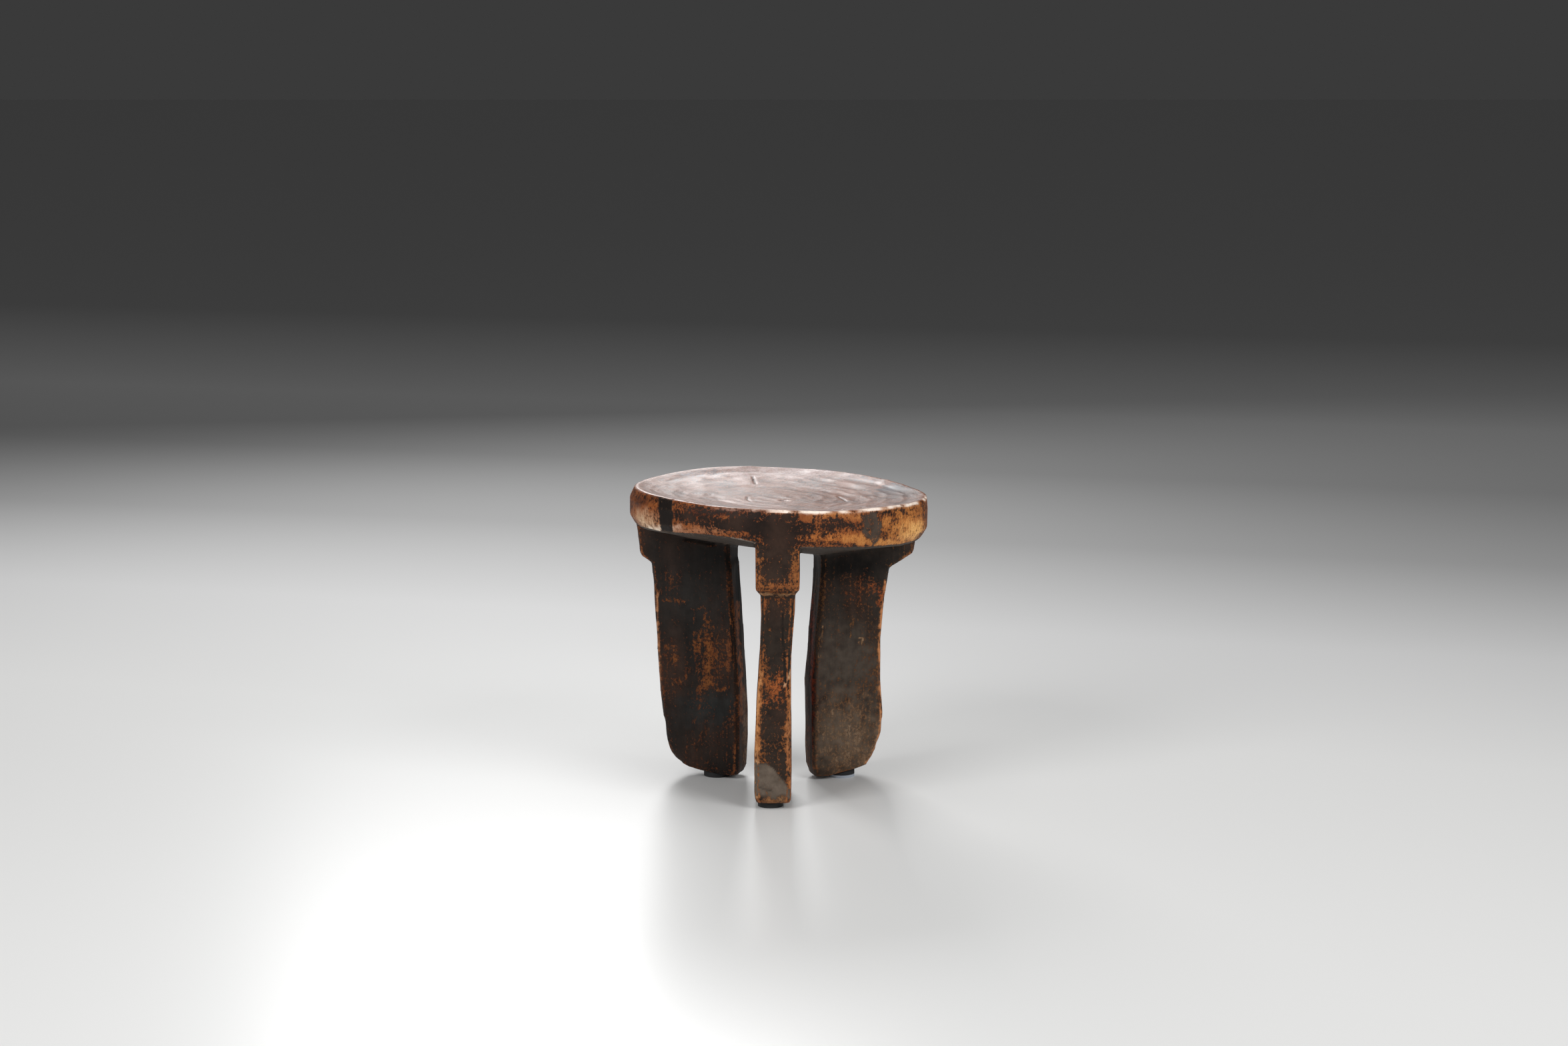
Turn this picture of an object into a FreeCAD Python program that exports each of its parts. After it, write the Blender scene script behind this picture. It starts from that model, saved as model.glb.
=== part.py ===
import FreeCAD, Part
import math
import os

# A low three-legged stool hewn from one block of wood. A thick round seat, slightly hollowed on top
# and bellied underneath, stands on three upright planks set like spokes. Each plank is wider just
# under the seat, and steps back over a sloping ledge to a shaft that ends in a rounded foot.
# The block is divided face to face where each plank leaves the belly of the seat, and a round
# self-stick pad lies under each foot. Millimetres, Z up, the floor at Z = 0, the sitter's front at -Y.

# Seat sizes
seat_width = 304.0
seat_depth = 297.0
seat_height = 303.5
seat_tilt_deg = 2.06
rim_height = 40.0
rim_top_inset = 3.5
rim_bottom_inset = 6.5
rim_edge_bevel = 2.5
top_edge_shift = 2.3
dish_depth = 9.5
belly_depth = 24.1
belly_tilt_deg = 6.8
belly_pitch_deg = 8.5

# How the hewn rim rises and falls, as shares of its height, anticlockwise from the right
rim_wave_shares = (
    -0.03, -0.06, -0.01, 0.03, 0.02, 0.06, -0.01, -0.07,
    -0.04, 0.00, 0.02, -0.01, 0.02, -0.01, 0.04, -0.01,
)
rim_depth_shares = (
    1.06, 1.00, 0.97, 0.95, 0.95, 0.95, 0.95, 0.97,
    1.00, 0.96, 0.87, 0.73, 0.90, 0.94, 1.01, 1.06,
)

# How far the rim's lower edge draws in, as shares of its inset: not at all over the front leg, whose
# shoulder runs up flush into the rim
rim_tuck_shares = (
    1.0, 1.0, 1.0, 1.0, 1.0, 1.0, 1.0, 1.0,
    1.0, 0.9, 0.7, 0.5, 0.1, 0.5, 0.7, 0.9,
)

# How full the belly is between the legs, as shares of its fall, anticlockwise from the right
belly_fullness_shares = (
    0.67, 0.66, 0.64, 0.61, 0.60, 0.62, 0.70, 0.96,
    1.15, 1.00, 0.96, 0.97, 1.00, 0.98, 0.58, 0.62,
)

# Where the levels of the belly and the hollow stand, as shares of the way out from the axis, and how
# far each has fallen, as a share of the whole depth
belly_reach_shares = (0.30, 0.64)
belly_fall_shares = (1.00, 0.83)
dish_reach_shares = (0.87, 0.67, 0.48)
dish_fall_shares = (0.38, 0.76, 1.00)

# The rim's side from its lower edge up: share of the way down from the upper edge, then how much of
# the lower edge's and of the upper edge's inset has come in there
rim_side_shares = (
    (0.96, 0.90, 0.00), (0.76, 0.15, 0.00), (0.30, 0.00, 0.15), (0.04, 0.00, 0.90),
)

# Leg sizes, the same for the three planks. The sink is how far they run up inside the seat, above the
# level of the rim's lower edge
leg_reach = 147.0
ledge_height = 217.0
leg_thickness = 36.0
leg_edge_bevel = 4.0
leg_sink = 15.5
ledge_rise = 7.0
shoulder_foot_round = 4.0

# Azimuth of each leg, anticlockwise from +X
front_azimuth_deg = -90.0
left_azimuth_deg = 163.0
right_azimuth_deg = 15.0

# Levels of each shaft from foot to ledge: share of the shaft's height, then the outer and inner end
# as shares of the leg's reach, then the two flanks as shares of the plank's thickness
front_shaft_shares = (
    (0.18, 0.868, 0.258, -0.69, 0.375), (0.45, 0.882, 0.262, -0.63, 0.355),
    (0.70, 0.899, 0.280, -0.53, 0.360), (0.90, 0.914, 0.305, -0.49, 0.455),
    (1.00, 0.920, 0.318, -0.51, 0.475),
)
left_shaft_shares = (
    (0.30, 0.832, 0.252, -0.51, 0.52), (0.48, 0.856, 0.262, -0.50, 0.50),
    (0.74, 0.878, 0.285, -0.50, 0.50), (0.90, 0.888, 0.303, -0.50, 0.50),
    (1.00, 0.906, 0.312, -0.50, 0.50),
)
right_shaft_shares = (
    (0.30, 0.735, 0.208, -0.52, 0.51), (0.46, 0.716, 0.206, -0.50, 0.50),
    (0.66, 0.716, 0.232, -0.50, 0.50), (0.86, 0.742, 0.258, -0.50, 0.50),
    (1.00, 0.778, 0.272, -0.50, 0.50),
)

# Rounded toe of each foot from the sole up: how far back and how high each level stands, as shares of
# the plank's thickness
front_toe_shares = ((0.25, 0.00), (0.11, 0.03), (0.03, 0.12), (0.00, 0.30))
left_toe_shares = ((1.90, 0.00), (1.12, 0.10), (0.76, 0.19), (0.45, 0.33), (0.24, 0.56), (0.10, 0.96))
right_toe_shares = ((1.50, 0.00), (0.75, 0.18), (0.50, 0.27), (0.32, 0.53), (0.03, 1.15))

# Shoulder of each leg just above the ledge: outer and inner end as shares of the leg's reach, and the
# two flanks as shares of the plank's thickness
front_shoulder_shares = (0.995, 0.318, -0.635, 0.590)
left_shoulder_shares = (0.992, 0.322, -0.50, 0.50)
right_shoulder_shares = (0.955, 0.272, -0.50, 0.50)

# How far each ledge is raised, and how high it slopes out to the shoulder, as shares of the rise
front_ledge_shares = (0.00, 1.00)
left_ledge_shares = (0.75, 0.95)
right_ledge_shares = (0.25, 1.90)

# How far each shoulder leans out up to the rim, and back in above it, as shares of the leg's reach
front_lean_shares = (0.008, -0.050)
left_lean_shares = (0.026, -0.050)
right_lean_shares = (0.034, -0.050)

# Pads
front_pad_thickness = 5.0
rear_pad_thickness = 3.5
front_pad_radius = 12.7
rear_pad_radius = 13.5
front_pad_spoke = 106.0
front_pad_side = -8.0
rear_pad_spoke = 67.0

# How far a corner may stand off the plane of the other three and still count as on it
flat_within = 0.0005

V = FreeCAD.Vector
seat_slope = math.tan(math.radians(seat_tilt_deg))
belly_slope = math.tan(math.radians(belly_tilt_deg))
belly_pitch = math.tan(math.radians(belly_pitch_deg))


# Helpers

def lies_flat(a, b, c, d):
    """Whether four corners lie in one plane."""
    normal = (b - a).cross(d - a)
    return abs(normal.dot(c - a)) < normal.Length * flat_within


def patch(rows):
    """Face over rows of control points: straight between two of them, a smooth curve over three."""
    down, across = len(rows), len(rows[0])
    corners = [rows[0][0], rows[0][-1], rows[-1][-1], rows[-1][0]]
    if down == across == 2 and lies_flat(*corners):
        return Part.Face(Part.makePolygon(corners + corners[:1]))
    surface = Part.BSplineSurface()
    surface.buildFromPolesMultsKnots(
        rows, [down, down], [across, across], [0, 1], [0, 1], False, False, down - 1, across - 1,
    )
    return surface.toShape()


def edge_along(points):
    """Smooth edge over the control points of one row of a patch."""
    curve = Part.BezierCurve()
    curve.setPoles(points)
    return curve.toShape()


def hewn_solid(rings):
    """Solid over a stack of rings, each a closed chain of sides: one patch from side to side, and a
    flat cap on each end."""
    faces = []
    for lower, upper in zip(rings, rings[1:]):
        faces += [patch(list(sides)) for sides in zip(lower, upper)]
    for ring in (rings[0], rings[-1]):
        faces.append(Part.Face(Part.Wire([edge_along(side) for side in ring])))
    shell = Part.makeShell(faces)
    shell.sewShape()
    solid = Part.Solid(shell)
    if solid.Volume < 0:
        solid.reverse()
    return solid


def curved_sides(points):
    """Ring through the middles between the points, bent round towards each point."""
    sides = []
    for index, point in enumerate(points):
        before, after = points[index - 1], points[(index + 1) % len(points)]
        sides.append([(before + point) / 2, point, (point + after) / 2])
    return sides


def straight_sides(points):
    """Ring with a straight side from each point to the next."""
    return [[point, points[(index + 1) % len(points)]] for index, point in enumerate(points)]


# Seat

def seat_ring(reach_share, tuck, inset, shift, level):
    """Control points of one level of the seat, anticlockwise from the right."""
    around = len(rim_wave_shares)
    swell = 1 / math.cos(math.pi / around)
    points = []
    for index in range(around):
        turn = 2 * math.pi * index / around
        drawn_in = inset + tuck * rim_tuck_shares[index]
        x = shift + (seat_width / 2 - drawn_in) * reach_share * swell * math.cos(turn)
        y = (seat_depth / 2 - drawn_in) * reach_share * swell * math.sin(turn)
        points.append(V(x, y, level(index, x, y)))
    return curved_sides(points)


def plane_level(x):
    """Height of the tilted plane that the rim's upper edge keeps to."""
    return seat_height - seat_slope * x


def rim_top(index, x):
    """Height of the rim's upper edge."""
    return plane_level(x) + rim_wave_shares[index] * rim_height


def rim_bottom(index, x):
    """Height of the rim's lower edge."""
    return plane_level(x) - rim_depth_shares[index] * rim_height


def belly_level(fall_share):
    """Height of the belly at a share of its depth below the rim's lower edge."""
    def level(index, x, y):
        deepest = seat_height - rim_height - belly_depth - belly_slope * x - belly_pitch * y
        fullness = belly_fullness_shares[index] if fall_share < 1 else 1
        return rim_bottom(index, x) + (deepest - rim_bottom(index, x)) * fall_share * fullness
    return level


def dish_level(fall_share):
    """Height of the hollow at a share of its depth below the rim's upper edge."""
    def level(index, x, y):
        deepest = plane_level(x) - dish_depth
        return rim_top(index, x) + (deepest - rim_top(index, x)) * fall_share
    return level


def side_level(down_share):
    """Height on the rim's side at a share of the way down from its upper edge."""
    def level(index, x, y):
        return rim_top(index, x) + (rim_bottom(index, x) - rim_top(index, x)) * down_share
    return level


def belly_rings():
    """From the flat under the middle out to just inside the rim's lower edge."""
    rings = []
    for reach_share, fall_share in zip(belly_reach_shares, belly_fall_shares):
        rings.append(seat_ring(reach_share, rim_bottom_inset, 0, 0, belly_level(fall_share)))
    edge_fall = rim_edge_bevel / rim_height
    rings.append(seat_ring(1, rim_bottom_inset, rim_edge_bevel, 0, belly_level(edge_fall)))
    return rings


def side_rings():
    """Up the rim's side, from the lower edge to the upper."""
    rings = []
    for down_share, tuck_share, top_share in rim_side_shares:
        tuck = rim_bottom_inset * tuck_share
        rings.append(seat_ring(
            1, tuck, rim_top_inset * top_share, top_edge_shift * top_share, side_level(down_share),
        ))
    return rings


def dish_rings():
    """From just inside the rim's upper edge in to the flat in the middle of the hollow."""
    rings = [seat_ring(1, 0, rim_top_inset + rim_edge_bevel, top_edge_shift, dish_level(0))]
    for reach_share, fall_share in zip(dish_reach_shares, dish_fall_shares):
        rings.append(seat_ring(reach_share, 0, rim_top_inset, top_edge_shift, dish_level(fall_share)))
    return rings


def seat_solid():
    """The seat as a stack of hewn bands: belly, worn lower edge, rim, worn upper edge and hollow."""
    return hewn_solid(belly_rings() + side_rings() + dish_rings())


# Legs

def leg_ring(outer, inner, low, high, level):
    """One level of a plank, its spoke along X: a rectangle with bevelled corners."""
    return straight_sides([
        V(inner + leg_edge_bevel, low, level), V(outer - leg_edge_bevel, low, level),
        V(outer, low + leg_edge_bevel, level), V(outer, high - leg_edge_bevel, level),
        V(outer - leg_edge_bevel, high, level), V(inner + leg_edge_bevel, high, level),
        V(inner, high - leg_edge_bevel, level), V(inner, low + leg_edge_bevel, level),
    ])


def foot_rings(shaft_shares, toe_shares, sole_level):
    """Levels of the foot, from its flat bevelled sole up the rounded toe, each less drawn in."""
    outer, inner = (share * leg_reach for share in shaft_shares[0][1:3])
    low, high = (share * leg_thickness for share in shaft_shares[0][3:])
    rings = []
    bevel = leg_edge_bevel
    for back_share, height_share in toe_shares:
        level = sole_level + height_share * leg_thickness
        toe = outer - back_share * leg_thickness
        rings.append(leg_ring(toe, inner + bevel, low + bevel, high - bevel, level))
        bevel /= 2
    return rings


def shaft_rings(shaft_shares, sole_level, crease_level):
    """Levels of the shaft from above the toe to the crease of the ledge."""
    rings = []
    for height, outer, inner, low, high in shaft_shares:
        level = sole_level + height * (crease_level - sole_level)
        rings.append(leg_ring(
            outer * leg_reach, inner * leg_reach, low * leg_thickness, high * leg_thickness, level,
        ))
    return rings


def shoulder_rings(shoulder_shares, lean_shares, lower_edge):
    """Levels of the shoulder, from its bevelled lower edge to its top, hidden in the seat."""
    outer, inner = (share * leg_reach for share in shoulder_shares[:2])
    low, high = (share * leg_thickness for share in shoulder_shares[2:])
    lean_out, lean_in = (share * leg_reach for share in lean_shares)
    return [
        leg_ring(outer - shoulder_foot_round / 2, inner, low, high, lower_edge),
        leg_ring(outer, inner, low, high, lower_edge + shoulder_foot_round),
        leg_ring(outer + lean_out, inner, low, high, seat_height - rim_height),
        leg_ring(outer + lean_out + lean_in, inner, low, high, seat_height - rim_height + leg_sink),
    ]


def leg_solid(
    azimuth_deg, sole_level, shaft_shares, toe_shares, ledge_shares, shoulder_shares, lean_shares, seat,
):
    """One leg, foot, shaft and shoulder in one, cut to the belly and rim of the seat."""
    crease_level = ledge_height + ledge_shares[0] * ledge_rise
    lower_edge = crease_level + ledge_shares[1] * ledge_rise
    foot = foot_rings(shaft_shares, toe_shares, sole_level)
    shaft = shaft_rings(shaft_shares, sole_level, crease_level)
    shoulder = shoulder_rings(shoulder_shares, lean_shares, lower_edge)
    leg = hewn_solid(foot + shaft + shoulder)
    leg.rotate(V(0, 0, 0), V(0, 0, 1), azimuth_deg)
    return leg.cut(seat).Solids[0]


# Pads

def pad_solid(azimuth_deg, radius, thickness, spoke, side, leg):
    """Round self-stick pad under one foot, pressed against the rounded sole all over."""
    pad = Part.makeCylinder(radius, thickness + radius, V(spoke, side, 0))
    pad.rotate(V(0, 0, 0), V(0, 0, 1), azimuth_deg)
    pieces = pad.cut(leg).Solids
    return min(pieces, key=lambda piece: piece.BoundBox.ZMin)


# Assembly

def build():
    """All nodes in place, by name."""
    seat = seat_solid()
    front = leg_solid(
        front_azimuth_deg, front_pad_thickness, front_shaft_shares, front_toe_shares, front_ledge_shares,
        front_shoulder_shares, front_lean_shares, seat,
    )
    left = leg_solid(
        left_azimuth_deg, rear_pad_thickness, left_shaft_shares, left_toe_shares, left_ledge_shares,
        left_shoulder_shares, left_lean_shares, seat,
    )
    right = leg_solid(
        right_azimuth_deg, rear_pad_thickness, right_shaft_shares, right_toe_shares, right_ledge_shares,
        right_shoulder_shares, right_lean_shares, seat,
    )
    rear_pad = (rear_pad_radius, rear_pad_thickness, rear_pad_spoke, 0)
    return {
        "seat": seat,
        "leg_front": front,
        "leg_rear_left": left,
        "leg_rear_right": right,
        "pad_front": pad_solid(
            front_azimuth_deg, front_pad_radius, front_pad_thickness, front_pad_spoke, front_pad_side, front,
        ),
        "pad_rear_left": pad_solid(left_azimuth_deg, *rear_pad, left),
        "pad_rear_right": pad_solid(right_azimuth_deg, *rear_pad, right),
    }


def middle_of(shapes):
    """Middle of the box round all the shapes, on the floor."""
    box = Part.Compound(list(shapes)).optimalBoundingBox(False, False)
    return V((box.XMin + box.XMax) / 2, (box.YMin + box.YMax) / 2, 0)


os.makedirs("parts", exist_ok=True)
parts = build()
middle = middle_of(parts.values())
for name, shape in parts.items():
    shape.translate(-middle)
    shape.exportStep("parts/" + name + ".step")
    box = shape.BoundBox
    print(name, shape.isValid(), len(shape.Solids), "volume", round(shape.Volume),
          "x", round(box.XMin, 1), round(box.XMax, 1), "y", round(box.YMin, 1), round(box.YMax, 1),
          "z", round(box.ZMin, 1), round(box.ZMax, 1))
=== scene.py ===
# %% [markdown]
# # A three-legged stool hewn from one block of wood
#
# This lesson dresses a measured model of a small carved stool: a thick round seat, slightly hollowed,
# on three upright planks that stand like spokes, with a self-stick pad under each foot. The measured
# solids are plain. Here they become old wood: adze marks, knife facets, cracks, chips and a dark coat
# that hands have worn through.

# %% Load the measured model
import math

import bpy
import numpy as np
from mathutils import Euler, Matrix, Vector, noise
from mathutils.bvhtree import BVHTree


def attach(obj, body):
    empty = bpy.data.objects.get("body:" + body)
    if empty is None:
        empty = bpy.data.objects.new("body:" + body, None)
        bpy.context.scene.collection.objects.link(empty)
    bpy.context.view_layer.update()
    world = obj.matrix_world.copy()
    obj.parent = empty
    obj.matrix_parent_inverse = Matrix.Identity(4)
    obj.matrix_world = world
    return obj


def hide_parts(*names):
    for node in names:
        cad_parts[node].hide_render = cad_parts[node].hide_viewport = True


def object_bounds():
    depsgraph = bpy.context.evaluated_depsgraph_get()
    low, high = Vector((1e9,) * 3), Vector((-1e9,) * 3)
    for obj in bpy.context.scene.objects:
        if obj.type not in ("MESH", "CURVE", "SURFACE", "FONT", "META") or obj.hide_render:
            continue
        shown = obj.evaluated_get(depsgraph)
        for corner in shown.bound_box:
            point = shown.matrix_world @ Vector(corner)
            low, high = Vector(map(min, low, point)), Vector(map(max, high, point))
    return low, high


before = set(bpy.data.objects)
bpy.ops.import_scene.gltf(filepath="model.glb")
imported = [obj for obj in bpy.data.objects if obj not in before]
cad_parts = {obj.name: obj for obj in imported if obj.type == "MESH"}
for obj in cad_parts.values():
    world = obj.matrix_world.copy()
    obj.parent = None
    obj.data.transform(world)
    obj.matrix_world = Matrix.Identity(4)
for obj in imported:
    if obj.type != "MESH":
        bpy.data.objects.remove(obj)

MM = 0.001
cad_low, cad_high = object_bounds()
print("measured box, mm:", [round(value / MM, 1) for value in (*cad_low, *cad_high)])

# %% [markdown]
# ## The camera
#
# The stool was seen from far away with a long lens, a little from above. The lens, the distance and the
# tilt were fitted to the ellipse of the seat and to the upright planks. They come first, because some
# marks on the wood are placed where this camera sees them.

# %% Camera
camera_lens_mm = 70.0
camera_place = Vector((5.0, -3056.0, 764.0)) * MM
camera_turn = Euler((math.radians(90 - 9.23), 0, 0))
image_width = 2350
image_height = 1568

bpy.ops.object.camera_add(location=camera_place, rotation=camera_turn)
camera = bpy.context.object
camera.name = "camera"
camera.data.lens = camera_lens_mm
camera.data.clip_end = 100
bpy.context.scene.camera = camera
focal_pixels = camera_lens_mm / camera.data.sensor_width * image_width
print("focal length, pixels:", round(focal_pixels))


def ray_through(u, v):
    """Direction from the camera through a pixel of the whole image."""
    direction = Vector((u - image_width / 2, image_height / 2 - v, -focal_pixels))
    direction.rotate(camera_turn)
    return direction.normalized()


def pixels_of(places):
    """Pixels of the whole image where the camera sees these places."""
    seen = (places - np.array(camera_place)) @ np.array(camera_turn.to_matrix())
    scale = focal_pixels / -seen[:, 2]
    return image_width / 2 + seen[:, 0] * scale, image_height / 2 - seen[:, 1] * scale


# %% [markdown]
# ## One block again
#
# The measured solids meet face to face where each plank leaves the seat, but the real stool has no
# joint there: it was hewn from one block. So the four solids are copied, joined and remeshed into one
# skin. A voxel remesh is the quick way to melt them together, and it gives the even, fine mesh that
# carving by moving points needs.

# %% Melt the four solids into one block
voxel_size = 1.5 * MM
wood_nodes = ("seat", "leg_front", "leg_rear_left", "leg_rear_right")


def pick(piece):
    """Make a piece the only selected and the active object."""
    bpy.ops.object.select_all(action="DESELECT")
    piece.select_set(True)
    bpy.context.view_layer.objects.active = piece


def merged_copy(node, name):
    """Copy of a measured node, its loose triangles merged into one skin."""
    copy = bpy.data.objects.new(name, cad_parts[node].data.copy())
    bpy.context.scene.collection.objects.link(copy)
    copy.data.materials.clear()
    pick(copy)
    bpy.ops.object.mode_set(mode="EDIT")
    bpy.ops.mesh.select_all(action="SELECT")
    bpy.ops.mesh.remove_doubles(threshold=0.001 * MM)
    bpy.ops.object.mode_set(mode="OBJECT")
    return copy


def apply_modifier(piece, kind, **settings):
    """Add a modifier to a piece, set it and apply it."""
    pick(piece)
    modifier = piece.modifiers.new(kind.lower(), kind)
    for key, value in settings.items():
        setattr(modifier, key, value)
    bpy.ops.object.modifier_apply(modifier=modifier.name)


solids = {node: merged_copy(node, "raw_" + node) for node in wood_nodes}
skins = {node: BVHTree.FromObject(solid, bpy.context.evaluated_depsgraph_get())
         for node, solid in solids.items()}
pick(solids["seat"])
for solid in solids.values():
    solid.select_set(True)
bpy.ops.object.join()
block = bpy.context.object
apply_modifier(block, "REMESH", mode="VOXEL", voxel_size=voxel_size)
print("block:", len(block.data.vertices), "points")

# %% [markdown]
# ## The front plank runs up into the rim
#
# On the front plank the shoulder is flush with the rim, and the lower edge of the rim fades out over
# it. Smoothing the points of that corner some sixty times melts the edge away, as a scraper would. The
# toes of the rear planks are rounded in the same way.

# %% Fade the rim's edge over the front plank


def read(name):
    """Places or directions of the block's points, three numbers for each."""
    values = np.empty(len(block.data.vertices) * 3)
    block.data.vertices.foreach_get(name, values)
    return values.reshape(-1, 3)


def select_points(piece, chosen):
    """Select just these points of a piece, given one truth value for each."""
    mesh = piece.data
    mesh.polygons.foreach_set("select", np.zeros(len(mesh.polygons), bool))
    mesh.edges.foreach_set("select", np.zeros(len(mesh.edges), bool))
    mesh.vertices.foreach_set("select", chosen)


def smooth_points(chosen, passes):
    """Draw these points of the block towards their neighbours, a number of times."""
    pick(block)
    bpy.context.tool_settings.mesh_select_mode = (True, False, False)
    select_points(block, chosen)
    bpy.ops.object.mode_set(mode="EDIT")
    bpy.ops.mesh.vertices_smooth(factor=0.5, repeat=passes)
    bpy.ops.object.mode_set(mode="OBJECT")


points = read("co")
corner_middle = -1 * MM
corner_half_width = 21 * MM
corner_reach = -140 * MM
corner_low, corner_high = 256 * MM, 275 * MM
corner_passes = 60
corner = np.abs(points[:, 0] - corner_middle) < corner_half_width
corner &= points[:, 1] < corner_reach
corner &= (points[:, 2] > corner_low) & (points[:, 2] < corner_high)
smooth_points(corner, corner_passes)
print("faded corner:", corner.sum(), "points")

# %% Round the toes of the rear planks
toe_height = 62 * MM
toe_clear = 6 * MM
toe_reach = 100 * MM
toe_passes = 40
points = read("co")
toes = (points[:, 2] < toe_height) & (points[:, 2] > toe_clear)
toes &= np.abs(points[:, 0]) > toe_reach
smooth_points(toes, toe_passes)
print("rounded toes:", toes.sum(), "points")

# %% [markdown]
# ## Carving
#
# The maker shaped the block with an adze and a knife, and both leave their marks: shallow scallops
# across the seat, long flat cuts down the planks and around the rim. Here a cut is a shallow dent
# that pushes points into the wood, never out of it, so the carved block stays inside the measured one.
# Doing it on arrays of points keeps hundreds of cuts quick.

# %% Points of the block as arrays, and what each belongs to
points = read("co")
normals = read("normal")
depth = np.zeros(len(points))
surface = BVHTree.FromObject(block, bpy.context.evaluated_depsgraph_get())
cutter = np.random.default_rng(7)
beside = 1.5 * MM
afar = 1.0


def distance_to(node, place):
    """Distance from a place to a measured solid, or far away if it isn't beside it."""
    distance = skins[node].find_nearest(place, beside)[3]
    return afar if distance is None else distance


reach = [[distance_to(node, place) for node in wood_nodes] for place in points.tolist()]
owner = np.array(reach).argmin(axis=1)
seat = owner == wood_nodes.index("seat")
up = normals[:, 2]
top_least_up = 0.88
under_most_up = -0.6
region = {
    "top": seat & (up > top_least_up),
    "rim": seat & (up >= under_most_up) & (up <= top_least_up),
    "under": seat & (up < under_most_up),
    "front": owner == wood_nodes.index("leg_front"),
    "left": owner == wood_nodes.index("leg_rear_left"),
    "right": owner == wood_nodes.index("leg_rear_right"),
}
print({name: int(inside.sum()) for name, inside in region.items()})

# %% How fully each point faces the camera, so that what it sees isn't smeared over faces edge on to it
least_facing, full_facing = 0.08, 0.28
to_camera = np.array(camera_place) - points
to_camera /= np.linalg.norm(to_camera, axis=1)[:, None]
facing = (to_camera * normals).sum(axis=1)
facing_camera = np.clip((facing - least_facing) / (full_facing - least_facing), 0, 1)
facing_camera = np.where(region["top"], facing > 0, facing_camera)
print("points that face the camera fully:", int((facing_camera == 1).sum()))

# %% The blade
by_x = np.argsort(points[:, 0])
sorted_x = points[by_x, 0]
blade_reach = 8 * MM
least_match = 0.6


def points_near(place, half_size):
    """Numbers of the points inside a cube round a place."""
    first, last = np.searchsorted(sorted_x, (place[0] - half_size, place[0] + half_size))
    slab = by_x[first:last]
    return slab[np.abs(points[slab] - place).max(axis=1) < half_size]


def unit(vector):
    """The vector's direction, with a length of one."""
    return vector / np.linalg.norm(vector)


def cut(place, along, out, length, width, deep):
    """One shallow dent of a blade: half length along the stroke, half width across it."""
    near = points_near(place, max(length, width))
    along = unit(along - out * (along @ out))
    away = points[near] - place
    far = (away @ along / length) ** 2 + (away @ np.cross(out, along) / width) ** 2
    inside = np.clip(1 - far, 0, 1) * (np.abs(away @ out) < blade_reach)
    depth[near] = np.maximum(depth[near], deep * inside * np.clip(normals[near] @ out, 0, 1))


def nearest_skin(place, out):
    """The block's surface beside a place, if it faces the way the blade comes from."""
    found, normal, _, _ = surface.find_nearest(Vector(place))
    normal = np.array(normal)
    return (np.array(found), normal) if normal @ out > least_match else (None, None)


# %% Scallops of the adze across the seat
scallop_spacing = (26 * MM, 11 * MM)
scallop_half_size = (25 * MM, 9 * MM)
scallop_depth = (0.2 * MM, 0.45 * MM)
seat_radius = (cad_high[0] - cad_low[0]) / 2
rows = int(seat_radius / scallop_spacing[1]) + 1
columns = int(seat_radius / scallop_spacing[0]) + 1
overhead = np.array((0.0, 0.0, 1.0))
strokes = 0
for row in range(-rows, rows + 1):
    for column in range(-columns, columns + 1):
        x = (column + 0.5 * (row % 2) + cutter.uniform(-0.35, 0.35)) * scallop_spacing[0]
        y = (row + cutter.uniform(-0.3, 0.3)) * scallop_spacing[1]
        place, out = nearest_skin((x, y, cad_high[2]), overhead)
        if place is None:
            continue
        size = cutter.uniform(0.5, 1.1)
        deep = cutter.uniform(*scallop_depth) * size
        round_the_seat = np.array((-y, x, 0)) + cutter.uniform(-0.02, 0.02, 3)
        cut(place, round_the_seat, out, scallop_half_size[0] * size,
            scallop_half_size[1] * size, deep)
        strokes += 1
print("scallops on the seat:", strokes)

# %% Knife facets around the rim and under the seat


def spoke_at(turn):
    """Level direction out from the middle of the seat, at this turn in radians."""
    return np.array((math.cos(turn), math.sin(turn), 0))


rim_facets = 64
rim_level = 286 * MM
for index in range(rim_facets):
    out = spoke_at(2 * math.pi * (index + cutter.uniform(-0.4, 0.4)) / rim_facets)
    level = rim_level + cutter.uniform(-8, 6) * MM
    place, normal = nearest_skin(out * seat_radius + overhead * level, out)
    if place is not None:
        cut(place, overhead + cutter.uniform(-0.1, 0.1) * np.cross(overhead, out), normal,
            cutter.uniform(14, 26) * MM, cutter.uniform(6, 12) * MM,
            cutter.uniform(0.25, 0.7) * MM)

under_strokes = 150
below_seat = 240 * MM
for _ in range(under_strokes):
    out = spoke_at(cutter.uniform(0, 2 * math.pi))
    distance = seat_radius * math.sqrt(cutter.uniform(0.02, 0.95))
    place, normal = nearest_skin(out * distance + overhead * below_seat, -overhead)
    if place is not None:
        cut(place, out, normal, cutter.uniform(12, 24) * MM, cutter.uniform(5, 9) * MM,
            cutter.uniform(0.4, 1.0) * MM)
print("facets and strokes:", rim_facets, "and", under_strokes)

# %% Long flat cuts down the planks
plank_azimuths = (-90, 163, 15)
plank_reach = (22 * MM, 150 * MM)
plank_levels = (12 * MM, 250 * MM)
plank_half_thickness = 20 * MM
cuts_per_flank = 46
cuts_per_end = 16


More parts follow.
